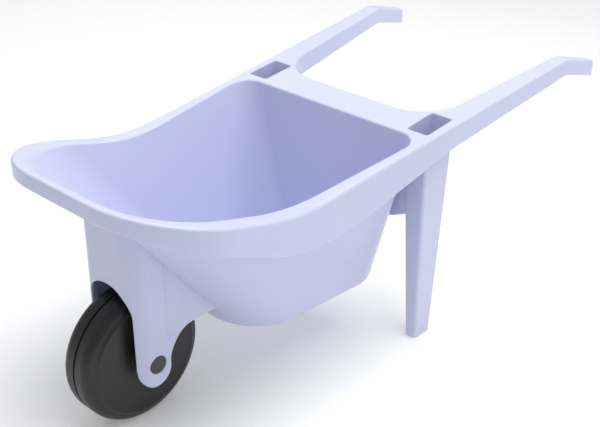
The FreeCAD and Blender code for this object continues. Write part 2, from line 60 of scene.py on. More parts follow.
# ---------------------------------------------------------------- what the frame gives
MM = 0.001
AXLE = Vector(frame["joints"][0]["pos_m"])
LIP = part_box("front_lip")[0].x
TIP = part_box("left_handle")[1].x
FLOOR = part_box("tub_floor")[0].z
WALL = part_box("tub_floor")[1].z - FLOOR
FORK_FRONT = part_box("fork_front_plate")[0].x
FORK_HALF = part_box("left_fork_cheek")[1].y
ARCH_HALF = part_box("left_fork_cheek")[0].y
DISC_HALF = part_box("left_wheel_half")[1].y
HUB_RADIUS = AXLE.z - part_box("wheel_hub")[0].z
HEAD_RADIUS = AXLE.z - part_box("axle_end_cap")[0].z
HEAD_LENGTH = FORK_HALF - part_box("axle_end_cap")[0].y
LEG_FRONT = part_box("left_leg")[0].x

BEYOND = 0.1                      # lines over x run on this far past the cart's ends
TOUCH = 1e-7                      # points nearer than this are one
SEARCH_STEPS = 40                 # of a search for where two lines meet
SHARP_EDGE = math.radians(40)     # faces that meet at more than this keep a crisp edge
HEAD_CHAMFER = ((0, 0.9), (0.3, 0.5), (1, 0.3))   # mm in from the edge, mm below the face
FLOOR_SIZE = 12                   # of the studio floor, from its middle
SENSOR_WIDTH = 36                 # of the camera, in millimetres
LAMPS = (                         # name, place, width and watts
    ("overhead", (0.1, -0.25, 1.7), 1.4, 24),
    ("right_side", (0.7, -1.7, 0.7), 1.2, 3),
    ("left_back", (0.6, 1.5, 1.2), 1.2, 3),
)


# ---------------------------------------------------------------- settings
def length(name, description, millimetres):
    """A length that a user can change, given here in millimetres."""
    return FloatProperty(name=name, description=description, default=millimetres * MM,
                         unit="LENGTH", precision=5)


def angle(name, description, degrees):
    """An angle that a user can change, given here in degrees."""
    return FloatProperty(name=name, description=description, default=math.radians(degrees),
                         subtype="ANGLE")


def linear(hex_colour):
    """An sRGB hex colour as linear red, green, blue and alpha."""
    values = [int(hex_colour[i:i + 2], 16) / 255 for i in (1, 3, 5)]
    return [v / 12.92 if v <= 0.04045 else ((v + 0.055) / 1.055) ** 2.4 for v in values] + [1.0]


def colour(name, description, hex_colour):
    """A colour that a user can change, given here as sRGB hex."""
    return FloatVectorProperty(name=name, description=description, subtype="COLOR", size=4,
                               min=0, max=1, default=linear(hex_colour))


class DeckSizes(bpy.types.PropertyGroup):
    """The surface that the rim, rail and handles share, and the skirt that hangs from it."""
    height: length("Height", "Deck above the ground at the origin", 277.9)
    rise: angle("Rise", "Up towards the handles", 6.1)
    lip_length: length("Lip length", "Front of the lip to where the deck turns up", 195.6)
    lip_rise: angle("Lip rise", "Up towards the front", 15)
    dip_radius: length("Dip radius", "Where the deck turns up to the lip", 250)
    bend: length("Bend", "Origin to the bend of the handles", 306)
    bend_radius: length("Bend radius", "Of the handles, seen from the side", 30)
    grip_radius: length("Grip radius", "Inside a handle's bend, seen from above", 120)
    droop: angle("Droop", "The grips below the level", 15.6)
    rim_half: length("Rim", "Half the width beside the tub", 152.5)
    tip_half: length("Tips", "Half the width over the handle tips", 171.5)
    waist: length("Waist", "Front of the lip to where the sides start to spread", 258)
    waist_radius: length("Waist radius", "Where the sides start to spread", 300)
    lip_corner: length("Lip corner", "Radius seen from above", 105)
    handle_width: length("Handle width", "At the bend", 23.5)
    tip_width: length("Tip width", "Of a handle at its tip", 17)
    tip_corner: length("Tip corner", "Radius seen from above", 7.5)
    rail_width: length("Rail width", "Rear of the tub to the rear of the rail", 42.5)
    rail_half: length("Rail half", "Middle to the inside of a handle, at the rail", 125)
    rail_corner: length("Rail corner", "Radius seen from above", 60)
    rim_edge: length("Rim edge", "Radius of the outer edge round the tub", 4.5)
    handle_edge: length("Handle edge", "Radius of the edges of the handles", 3)
    inner_edge: length("Inner edge", "Radius of the tub's edge at the sides and rear", 3)
    lip_blend: length("Lip blend", "Radius of the tub's edge at the front", 20)
    under_edge: length("Under edge", "Radius under the deck, inside the skirt", 2)
    skirt_lip_drop: length("Skirt at the lip", "Depth of the skirt at the lip", 19.3)
    skirt_front_slope: angle("Skirt slope, front", "Down towards the middle of the tub", 22.9)
    skirt_low_drop: length("Skirt, lowest", "Below the deck's height at the origin", 65.9)
    skirt_low_end: length("Skirt, low end", "Front of the lip to the low stretch's end", 270.7)
    skirt_rear_slope: angle("Skirt slope, rear", "Up towards the handles", 14.1)
    skirt_bend_drop: length("Skirt at the bend", "Depth of a handle at the bend", 22.5)
    skirt_tip_drop: length("Skirt at the tip", "Depth of a handle at its tip", 21.3)
    skirt_radius: length("Skirt radius", "Corners of the skirt's lower edge", 200)
    skirt_bend_radius: length("Skirt bend", "Radius under the bend of the handles", 15)


class TubSizes(bpy.types.PropertyGroup):
    """The tub and the two legs."""
    rear: length("Rear", "Origin to the rear of the floor", 31.3)
    half: length("Half width", "Half the floor's width at its rear", 92.86)
    taper: angle("Taper", "Each side narrower towards the front", 3.15)
    side_draft: angle("Side draft", "From upright", 15.1)
    rear_draft: angle("Rear draft", "From upright", 0.5)
    scoop: angle("Scoop", "Front wall above the level", 52.2)
    wheel_room: length("Wheel room", "Between the wheel and the front wall", 5.3)
    blank_top: length("Blank top", "Top of the tub before its deck is cut, above the deck", 66)
    rear_low: length("Rear corner, low", "Radius at the floor", 36)
    rear_high: length("Rear corner, high", "Radius at the top of the blank", 28)
    scoop_low: length("Front corner, low", "Radius at the floor", 75)
    scoop_high: length("Front corner, high", "Radius at the top of the blank", 95)
    floor_corner: length("Floor corner", "Radius between walls and floor", 25)
    leg_outside: length("Leg outside", "Middle to the outside of a leg's top", 150)
    leg_lean: length("Leg lean", "A foot stands this much further in", 1.8)
    leg_top_length: length("Leg length, top", "Front to rear", 52.5)
    leg_top_width: length("Leg width, top", "Side to side", 35)
    leg_foot_length: length("Leg length, foot", "Front to rear", 29.6)
    leg_foot_width: length("Leg width, foot", "Side to side", 16.3)
    leg_wall: length("Leg wall", "Thickness", 2.5)
    leg_corner: length("Leg corner", "Radius of the upright edges", 4)
    foot_edge: length("Foot edge", "Radius under a foot", 1.5)
    apron_height: length("Apron height", "Lower edge above the ground, in the middle", 142)
    apron_arc: length("Apron arc", "Radius of the lower edge", 280)


class ForkSizes(bpy.types.PropertyGroup):
    """The fork that holds the wheel."""
    corner: length("Corner", "Radius of the two front corners", 22)
    arch_room: length("Arch room", "Between the wheel and the top of the arch", 16.5)
    arch_corner: length("Arch corner", "Radius", 34)
    web_rise: length("Web rise", "Axle to the lower edge of the web", 32.5)
    hollow: length("Hollow", "Radius behind the ear", 37.5)
    hollow_start: length("Hollow start", "Axle to the front of the hollow", 18)
    ear_radius: length("Ear", "Radius of the ear that holds the axle", 20.5)
    ear_drop: length("Ear drop", "Axle to the middle of the ear", 7)
    pillar: length("Pillar", "Front of the fork to the crease in its side", 42.5)
    crease: length("Crease", "Width of the slope down to the web", 3)
    step: length("Step", "The web lies this much further in", 1.5)
    fade_low: length("Fade, low", "Axle to where the step starts", 18)
    fade_high: length("Fade, high", "Axle to where the step is whole", 31)
    edge: length("Edge", "Radius of the fork's edges", 1)
    boss_radius: length("Boss", "Radius of the boss inside a cheek", 14.2)
    seat_gap: length("Seat gap", "Round a head in its seat", 0.1)


class WheelSizes(bpy.types.PropertyGroup):
    """The wheel's two halves and the axle."""
    crown: length("Crown", "Middle of the tread to its shoulder", 10.5)
    groove: length("Groove", "Half the width of the groove in the tread", 1.2)
    groove_depth: length("Groove depth", "Of the groove in the tread", 2)
    lip: length("Disc lip", "Radius of the raised edge of a disc", 67.5)
    lip_height: length("Lip height", "Of that edge above the disc", 1)
    shell: length("Shell", "Thickness of a wheel half", 3)
    shank: length("Shank", "Radius of the axle", 7)
    segments: IntProperty(name="Segments", description="Steps round a turned piece",
                          default=120, min=24)


class CartColours(bpy.types.PropertyGroup):
    """Colours of the plastics."""
    body: colour("Body", "Lilac of the moulding", "#c3c8e4")
    body_flow: colour("Body, flow", "Paler streaks in the moulding", "#c9cee8")
    wheel: colour("Wheel", "Black of the wheel", "#151413")
    wheel_dust: colour("Wheel, worn", "Greyer patches of the wheel", "#1d1b1a")
    axle: colour("Axle", "Slate of the axle", "#34373d")
    floor: colour("Floor", "Pale studio floor", "#f4f4f4")


class StageSettings(bpy.types.PropertyGroup):
    """Camera and lights."""
    azimuth: angle("Azimuth", "Of the camera, from the right-hand side", -46.47)
    elevation: angle("Elevation", "Of the camera", 27.87)
    distance: length("Distance", "Camera to what it looks at", 1390.7)
    aim_x: length("Aim, along", "What the camera looks at", -18.15)
    aim_z: length("Aim, up", "What the camera looks at", 148.4)
    floor_glow: FloatProperty(name="Floor glow", description="Light that the floor gives",
                              default=0.15)
    surroundings: FloatProperty(name="Surroundings", description="Light from all round",
                                default=0.5)
    lens: FloatProperty(name="Lens", description="Focal length in millimetres", default=66.12)


# ---------------------------------------------------------------- lines and outlines
def rounded_line(points, radii):
    """A height over x that follows a line of points whose inner corners are rounded."""
    xs, zs = np.array(points).T
    slopes = np.diff(zs) / np.diff(xs)
    arcs = []
    for index, radius in enumerate(radii, start=1):
        before, after = math.atan(slopes[index - 1]), math.atan(slopes[index])
        sign = 1 if after > before else -1
        reach = radius * math.tan(abs(after - before) / 2)
        start = xs[index] - reach * math.cos(before)
        end = xs[index] + reach * math.cos(after)
        centre_x = start - sign * radius * math.sin(before)
        centre_z = zs[index] - reach * math.sin(before) + sign * radius * math.cos(before)
        arcs.append((start, end, centre_x, centre_z, radius, sign))

    def height(x):
        x = np.asarray(x, float)
        part = np.clip(np.searchsorted(xs, x) - 1, 0, len(slopes) - 1)
        z = zs[part] + (x - xs[part]) * slopes[part]
        for start, end, centre_x, centre_z, radius, sign in arcs:
            arc = centre_z - sign * np.sqrt(np.maximum(radius ** 2 - (x - centre_x) ** 2, 0))
            z = np.where((x > start) & (x < end), arc, z)
        return z
    return height


def rounded_loop(corners, spacing):
    """Points round a closed anticlockwise outline of (x, y, radius, steps) corners.

    spacing is either the distance between points along the straights or their counts.
    """
    places = np.array([corner[:2] for corner in corners], float)
    count = len(corners)
    ahead = np.roll(places, -1, 0) - places
    ahead /= np.linalg.norm(ahead, axis=1)[:, None]
    arcs = []
    for index, (_, _, radius, steps) in enumerate(corners):
        before, after = ahead[index - 1], ahead[index]
        turn = math.atan2(before[0] * after[1] - before[1] * after[0], before @ after)
        reach = radius * math.tan(abs(turn) / 2)
        sign = 1 if turn > 0 else -1
        start = places[index] - before * reach
        centre = start + sign * radius * np.array([-before[1], before[0]])
        angles = math.atan2(before[1], before[0]) + turn * np.linspace(0, 1, steps + 1)
        arcs.append(centre + sign * radius * np.column_stack([np.sin(angles), -np.cos(angles)]))
    points = []
    for index, arc in enumerate(arcs):
        following = arcs[(index + 1) % count][0]
        gap = np.linalg.norm(following - arc[-1])
        number = spacing[index] if np.ndim(spacing) else max(1, round(gap / spacing))
        share = np.arange(1, number)[:, None] / number
        points += [arc, arc[-1] + (following - arc[-1]) * share]
    return np.vstack(points)


def outward(points):
    """Outward normals of an anticlockwise loop, long enough to keep offsets even."""
    edges = np.roll(points, -1, 0) - points
    normals = np.column_stack([edges[:, 1], -edges[:, 0]])
    normals /= np.linalg.norm(normals, axis=1)[:, None]
    before = np.roll(normals, 1, 0)
    return (normals + before) / (1 + np.sum(normals * before, 1))[:, None]


def unit(vectors):
    """Each row at length one."""
    return vectors / np.linalg.norm(vectors, axis=1)[:, None]


def fillet(corner, first, second, radius, steps):
    """Rings of a rounded corner, from its first unit direction to its second."""
    half = np.arccos(np.clip(np.sum(first * second, 1), -1, 1)) / 2
    reach = (radius / np.tan(half))[:, None]
    centre = corner + unit(first + second) * (radius / np.sin(half))[:, None]
    start, end = corner + first * reach - centre, corner + second * reach - centre
    sweep = (math.pi - 2 * half)[:, None]
    return [centre + (start * np.sin((1 - share) * sweep) + end * np.sin(share * sweep))
            / np.sin(sweep) for share in np.linspace(0, 1, steps + 1)]


def smooth_step(value, low, high):
    """0 below low, 1 above high, and an even change between them."""
    share = np.clip((value - low) / (high - low), 0, 1)
    return share * share * (3 - 2 * share)


def around(middle, gap, count):
    """Evenly spaced places on both sides of a middle one."""
    return [middle + gap * step for step in range(-count, count + 1)]


def with_height(points, z):
    """Flat points with a third coordinate."""
    return np.column_stack([points, np.broadcast_to(z, len(points))])


# ---------------------------------------------------------------- meshes
def add_ring(mesh, points):
    """New vertices of a bmesh, in order."""
    return [mesh.verts.new(point) for point in points]


def skin(mesh, rings):
    """Faces between each ring and the next one."""
    for first, second in zip(rings, rings[1:]):
        for index in range(len(first)):
            other = (index + 1) % len(first)
            mesh.faces.new((first[index], first[other], second[other], second[index]))


def cap(mesh, *rings):
    """Fill the space inside the first ring and outside the others; returns its faces."""
    edges = [mesh.edges.get(pair) or mesh.edges.new(pair)
             for ring in rings for pair in zip(ring, ring[1:] + ring[:1])]
    filled = bmesh.ops.triangle_fill(mesh, edges=edges, use_beauty=True, normal=(0, 0, 1))
    return [item for item in filled["geom"] if isinstance(item, bmesh.types.BMFace)]


def slice_faces(mesh, faces, places, axis):
    """Cut flat faces by planes across one axis; returns all their parts."""
    normal = [0.0, 0.0, 0.0]
    normal[axis] = 1.0
    for place in places:
        edges = {edge for face in faces for edge in face.edges}
        verts = {vert for face in faces for vert in face.verts}
        cut = bmesh.ops.bisect_plane(
            mesh, geom=[*verts, *edges, *faces], dist=TOUCH,
            plane_co=[place * value for value in normal], plane_no=normal)
        faces = [item for item in cut["geom"] if isinstance(item, bmesh.types.BMFace)]
    return faces


def plate(mesh, loops, thickness, edge, cuts):
    """Add a flat plate with rounded edges, in its own (s, z, t) space.

    The first loop is its outline and the others are holes; its flat faces are then sliced.
    """
    front, back = [], []
    quarter = np.linspace(0, math.pi / 2, 4)
    profile = [(edge * (1 - math.sin(a)), edge * (1 - math.cos(a))) for a in quarter]
    profile += [(inset, thickness - depth) for inset, depth in reversed(profile)]
    for number, loop in enumerate(loops):
        away = outward(loop) * (1 if number else -1)
        rings = [add_ring(mesh, with_height(loop + away * inset, depth))
                 for inset, depth in profile]
        skin(mesh, rings)
        front.append(rings[0])
        back.append(rings[-1])
    faces = cap(mesh, *front) + cap(mesh, *back)
    for axis, places in enumerate(cuts):
        faces = slice_faces(mesh, faces, places, axis)


def reshape(mesh, mapping):
    """Move every point of a mesh by a function of its coordinates."""
    points = np.array([vert.co for vert in mesh.verts])
    for vert, point in zip(mesh.verts, mapping(*points.T).T):
        vert.co = point


def add_object(name, data):
    """A new object in the scene."""
    item = bpy.data.objects.new(name, data)
    bpy.context.scene.collection.objects.link(item)
    return item


def mesh_object(name, mesh):
    """A new object in the scene from a bmesh, which is freed."""
    data = bpy.data.meshes.new(name)
    mesh.to_mesh(data)
    mesh.free()
    return add_object(name, data)


def make_piece(name, mesh, body, finish, nodes):
    """A finished piece from a bmesh."""
    bmesh.ops.recalc_face_normals(mesh, faces=mesh.faces[:])
    finish_piece(mesh_object(name, mesh), body, finish, nodes)


def finish_piece(piece, body, finish, nodes):
    """Give a piece even normals and its material, and let it ride on its body."""
    data = piece.data
    data.polygons.foreach_set("use_smooth", [True] * len(data.polygons))
    data.set_sharp_from_angle(angle=SHARP_EDGE)
    modifier = piece.modifiers.new("Even normals", "WEIGHTED_NORMAL")
    modifier.keep_sharp = True
    modifier.weight = 100
    make_plain(piece)
    piece.data.materials.clear()
    piece.data.materials.append(finish)
    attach(piece, body)
    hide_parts(*nodes)


def make_plain(piece):
    """Put the result of the modifiers into the mesh and remove them."""
    bpy.context.view_layer.update()
    graph = bpy.context.evaluated_depsgraph_get()
    plain = bpy.data.meshes.new_from_object(piece.evaluated_get(graph), depsgraph=graph)
    piece.modifiers.clear()
    piece.data = plain


# ---------------------------------------------------------------- nodes and materials
def add_node(tree, kind, settings=None, inputs=None):
    """Add a node with its settings and inputs; an input is a value or another node's socket."""
    node = tree.nodes.new(kind)
    for name, value in (settings or {}).items():
        setattr(node, name, value)
    for name, value in (inputs or {}).items():
        socket = node.inputs[name]
        if isinstance(value, bpy.types.NodeSocket):
            tree.links.new(value, socket)
        else:
            socket.default_value = value
    return node


def new_material(name):
    """A material without nodes, and its tree."""
    finish = bpy.data.materials.new(name)
    finish.use_nodes = True
    finish.node_tree.nodes.clear()
    return finish, finish.node_tree


def per_metre(size):
    """Scale of a noise whose features are about this long, in metres."""
    return 1 / size


def plastic(name, colours, roughness, grain, grain_depth, fixed):
    """A moulded plastic: patchy gloss, a fine grain and, with two colours, slow streaks."""
    finish, tree = new_material(name)
    place = add_node(tree, "ShaderNodeTexCoord").outputs["Object"]
    tint = colours[0]
    if len(colours) == 2:
        streaks = add_node(tree, "ShaderNodeTexNoise", None, {
            "Vector": place, "Scale": per_metre(90 * MM), "Detail": 3.0, "Roughness": 0.5})
        # 0, 6 and 7 are the factor and the two colours; the result is output 2
        tint = add_node(tree, "ShaderNodeMix", {"data_type": "RGBA"}, {
            0: streaks.outputs["Fac"], 6: colours[0], 7: colours[1]}).outputs[2]
    patches = add_node(tree, "ShaderNodeTexNoise", None, {
        "Vector": place, "Scale": per_metre(25 * MM), "Detail": 4.0, "Roughness": 0.6})
    gloss = add_node(tree, "ShaderNodeMapRange", None, {
        "Value": patches.outputs["Fac"], "From Min": 0.3, "From Max": 0.7,
        "To Min": roughness[0], "To Max": roughness[1]})
    skin_noise = add_node(tree, "ShaderNodeTexNoise", None, {
        "Vector": place, "Scale": per_metre(grain), "Detail": 2.0, "Roughness": 0.5})
    bump = add_node(tree, "ShaderNodeBump", None, {
        "Height": skin_noise.outputs["Fac"], "Distance": grain_depth, "Strength": 0.5})
    shader = add_node(tree, "ShaderNodeBsdfPrincipled", None, {
        "Base Color": tint, "Roughness": gloss.outputs["Result"],
        "Normal": bump.outputs["Normal"], **fixed})
    add_node(tree, "ShaderNodeOutputMaterial", None, {"Surface": shader.outputs["BSDF"]})
    return finish


def moulded_polypropylene(colours):
    """Injection-moulded polypropylene: satin, and light enters it a few millimetres.

    The mould is polished, so the grain only just breaks up a highlight.
    """
    return plastic("moulded_polypropylene", (colours.body, colours.body_flow), (0.28, 0.33),
                   grain=0.8 * MM, grain_depth=0.002 * MM, fixed={
                       "IOR": 1.49, "Subsurface Weight": 0.25, "Subsurface Scale": 4 * MM,
                       "Subsurface Radius": (0.8, 0.9, 1.0)})


def moulded_polyethylene(colours):
    """Injection-moulded black polyethylene: waxy, with broad soft highlights.

    A real grain of a few tenths of a millimetre is too fine to show, so it is 1.2 mm here.
    """
    return plastic("moulded_polyethylene", (colours.wheel, colours.wheel_dust), (0.36, 0.48),
                   grain=1.2 * MM, grain_depth=0.04 * MM, fixed={"IOR": 1.51})


def moulded_polyamide(colours):
    """Injection-moulded polyamide of the axle: smooth and slate grey."""
    return plastic("moulded_polyamide", (colours.axle,), (0.38, 0.46),
                   grain=0.8 * MM, grain_depth=0.02 * MM, fixed={"IOR": 1.53})


def material(maker):
    """The material that a maker gives, made once."""
    found = bpy.data.materials.get(maker.__name__)
    return found or maker(bpy.context.scene.cart_colours)


# ---------------------------------------------------------------- shared curves
def deck_line(sizes):
    """Height of the deck over x, from the lip to the grips."""
    def straight(x):
        return sizes.height + x * math.tan(sizes.rise)

    dip = LIP + sizes.lip_length
    end = TIP + BEYOND
    return rounded_line([
        (LIP - BEYOND, straight(dip) + (dip - LIP + BEYOND) * math.tan(sizes.lip_rise)),
        (dip, straight(dip)),
        (sizes.bend, straight(sizes.bend)),
        (end, straight(sizes.bend) - (end - sizes.bend) * math.tan(sizes.droop)),
    ], [sizes.dip_radius, sizes.bend_radius])


def skirt_line(sizes, deck):
    """Height of the skirt's lower edge over x."""
    lip_z = float(deck(LIP)) - sizes.skirt_lip_drop
    low_z = sizes.height - sizes.skirt_low_drop
    slope = math.tan(sizes.skirt_front_slope)
    low_start = LIP + (lip_z - low_z) / slope
    low_end = LIP + sizes.skirt_low_end
    rail = rail_rear(sizes)
    bend_z = sizes.height + sizes.bend * math.tan(sizes.rise) - sizes.skirt_bend_drop
    tip_z = float(deck(TIP)) - sizes.skirt_tip_drop
    grip_slope = (tip_z - bend_z) / (TIP - sizes.bend)
    return rounded_line([
        (LIP - BEYOND, lip_z + BEYOND * slope),
        (low_start, low_z),
        (low_end, low_z),
        (rail, low_z + (rail - low_end) * math.tan(sizes.skirt_rear_slope)),
        (sizes.bend, bend_z),
        (TIP + BEYOND, tip_z + BEYOND * grip_slope),
    ], [sizes.skirt_radius, sizes.skirt_radius, sizes.skirt_radius, sizes.skirt_bend_radius])


def rail_rear(sizes):
    """Rear edge of the rail behind the tub."""
    tub = bpy.context.scene.cart_tub
    depth = sizes.height - FLOOR
    return tub.rear + depth * math.tan(tub.rear_draft) + sizes.rail_width


def floor_front(tub):
    """Front of the tub's floor, placed so that the front wall clears the wheel."""
    reach = AXLE.z + tub.wheel_room + (AXLE.z - FLOOR) * math.cos(tub.scoop)
    return AXLE.x + reach / math.sin(tub.scoop)


def tub_corners(tub, z, inset, radii):
    """Corners of the tub's outline at a height, made smaller by inset."""
    above = z - FLOOR
    rear = tub.rear + above * math.tan(tub.rear_draft) - inset
    front = floor_front(tub) - above / math.tan(tub.scoop) + inset / math.sin(tub.scoop)
    half = tub.half + above * math.tan(tub.side_draft) - inset / math.cos(tub.side_draft)
    rear_half, front_half = (half + (x - tub.rear) * math.tan(tub.taper) for x in (rear, front))
    rear_radius, front_radius = radii
    return [(front, -front_half, front_radius - inset, 26),
            (rear, -rear_half, rear_radius - inset, 16),
            (rear, rear_half, rear_radius - inset, 16),
            (front, front_half, front_radius - inset, 26)]


def leg_corners(tub, z, inset, side):
    """Corners of a leg's outline at a height; side is 1 on the left."""
    share = z / bpy.context.scene.cart_deck.height
    along = tub.leg_foot_length + (tub.leg_top_length - tub.leg_foot_length) * share
    width = tub.leg_foot_width + (tub.leg_top_width - tub.leg_foot_width) * share
    outside = tub.leg_outside - tub.leg_lean * (1 - share)
    radius = tub.leg_corner - inset / 2
    front, rear = LEG_FRONT + inset, LEG_FRONT + along - inset
    near, far = outside - width + inset, outside - inset
    low, high = (near, far) if side > 0 else (-far, -near)
    return [(x, y, radius, 5) for x, y in
            ((front, low), (rear, low), (rear, high), (front, high))]


class Wall:
    """A wall between two level outlines with the same number of points."""

    def __init__(self, low, low_z, high, high_z):
        self.start = with_height(low, low_z)
        self.run = (with_height(high, high_z) - self.start) / (high_z - low_z)
        self.up = unit(self.run)
        self.out = unit(np.column_stack([outward(low), np.zeros(len(low))]))
        self.low_z = low_z

    def at(self, z):
        """Where each line of the wall stands at its own height."""
        return self.start + self.run * (z - self.low_z)[:, None]

    def meet(self, height):
        """Where each line of the wall meets a height over x."""
        z = np.full(len(self.start), self.low_z)
        for _ in range(SEARCH_STEPS):
            z = height(self.at(z)[:, 0])
        return self.at(z)

    def foot(self, radius, steps):
        """Rings of the rounded edge between the wall and a level floor, wall first."""
        return fillet(self.start, self.up, -self.out, np.full(len(self.start), radius), steps)

    def brim(self, height, radius, steps):
        """Rings of the rounded edge between a surface over x and the wall, surface first."""
        corner = self.meet(height)
        step = 0.1 * MM
        slope = (height(corner[:, 0] + step) - height(corner[:, 0] - step)) / (2 * step)
        level = self.out.copy()
        level[:, 2] = slope * level[:, 0]
        return fillet(corner, unit(level), -self.up, np.broadcast_to(radius, len(corner)), steps)


# ---------------------------------------------------------------- the moulded body
def deck_outline(sizes):
    """The deck from above: lip, sides, handles and the inside of the rail."""
    rail = rail_rear(sizes)
    right = [
        (LIP, -sizes.rim_half, sizes.lip_corner, 30),
        (LIP + sizes.waist, -sizes.rim_half, sizes.waist_radius, 4),
        (TIP, -sizes.tip_half, sizes.tip_corner, 8),
        (TIP, -sizes.tip_half + sizes.tip_width, sizes.tip_corner, 8),
        (sizes.bend, -sizes.tip_half + sizes.handle_width, sizes.grip_radius, 3),
        (rail, -sizes.rail_half, sizes.rail_corner, 18),
    ]
    left = [(x, -y, radius, steps) for x, y, radius, steps in reversed(right)]
    return rounded_loop(right + left, 6 * MM)


def relative(rings, deck, flat_first=None):
    """Rings with their height measured from the deck; the first may be laid flat on it."""
    made = []
    for ring in rings:
        ring = ring.copy()
        ring[:, 2] -= deck(ring[:, 0])
        made.append(ring)
    if flat_first is not None:
        made[0][:, 2] = flat_first
    return made


def skirt_rings(sizes, deck, skirt):
    """The rounded outer edge, the skirt and the inside of the skirt, down and up again."""
    outline = deck_outline(sizes)
    normals = outward(outline)
    towards_handles = smooth_step(outline[:, 0], -60 * MM, 100 * MM)
    edge = sizes.rim_edge + (sizes.handle_edge - sizes.rim_edge) * towards_handles
    round_half = WALL / 2

    def ring(inset, z=None, drop=None):
        """The outline made smaller, at z from the deck or at drop from the skirt's edge."""
        points = outline - normals * np.broadcast_to(inset, len(outline))[:, None]
        low = skirt(points[:, 0]) - deck(points[:, 0]) if z is None else 0
        return with_height(points, low + (drop if z is None else z))

    quarter = np.linspace(0, math.pi / 2, 7)
    rings = [ring(edge * (1 - math.sin(a)), z=-edge * (1 - math.cos(a))) for a in quarter]
    rings += [ring(round_half * (1 - math.cos(a)), drop=round_half * (1 - math.sin(a)))
              for a in np.linspace(0, math.pi, 7)]
    rings += [ring(WALL + sizes.under_edge * (1 - math.cos(a)),
                   z=-WALL - sizes.under_edge * (1 - math.sin(a)))
              for a in np.linspace(0, math.pi / 2, 4)]
    return rings


def build_body(sizes, tub):
    """Deck, skirt, tub and hollow legs as one closed surface."""
    deck = deck_line(sizes)
    skirt = skirt_line(sizes, deck)
    mesh = bmesh.new()

    def under(x):
        return deck(x) - WALL

    def add(rings, flat_first=None):
        made = [add_ring(mesh, ring) for ring in relative(rings, deck, flat_first)]
        skin(mesh, made)
        return made

    outer = [add_ring(mesh, ring) for ring in skirt_rings(sizes, deck, skirt)]
    skin(mesh, outer)
    top, bottom = [outer[0]], [outer[-1]]

    blank_z = sizes.height + tub.blank_top
    counts = (34, 14, 34, 12)
    for inset in (WALL, 0):
        low_z = FLOOR + inset
        radii = ((tub.rear_low, tub.scoop_low), (tub.rear_high, tub.scoop_high))
        low, high = (rounded_loop(tub_corners(tub, z, inset, pair), counts)
                     for z, pair in zip((low_z, blank_z), radii))
        wall = Wall(low, low_z, high, blank_z)
        foot = wall.foot(tub.floor_corner - inset, 8)
        if inset:
            frontness = smooth_step(-wall.out[:, 0], 0.1, 0.9)
            radius = sizes.inner_edge + (sizes.lip_blend - sizes.inner_edge) * frontness
            rings = add(wall.brim(deck, radius, 6) + foot, flat_first=0)
            top.append(rings[0])
        else:
            rings = add([wall.meet(under)] + foot, flat_first=-WALL)
            bottom.append(rings[0])
        cap(mesh, rings[-1])

    for side in (1, -1):
        for inset in (tub.leg_wall, 0):
            low, high = (rounded_loop(leg_corners(tub, z, inset, side), (6, 4, 6, 4))
                         for z in (inset, blank_z))
            wall = Wall(low, inset, high, blank_z)
            foot = wall.foot(tub.foot_edge, 4)
            if inset:
                rings = add(wall.brim(deck, tub.foot_edge, 4) + foot, flat_first=0)
                top.append(rings[0])
            else:
                rings = add([wall.meet(under)] + foot, flat_first=-WALL)
                bottom.append(rings[0])
            cap(mesh, rings[-1])

    flat = cap(mesh, *top) + cap(mesh, *bottom)
    dip = LIP + sizes.lip_length
    slice_faces(mesh, flat, around(dip, 6 * MM, 9) + around(sizes.bend, 4 * MM, 9), 0)
    reshape(mesh, lambda x, y, z: np.array([x, y, z + deck(x)]))
    return mesh


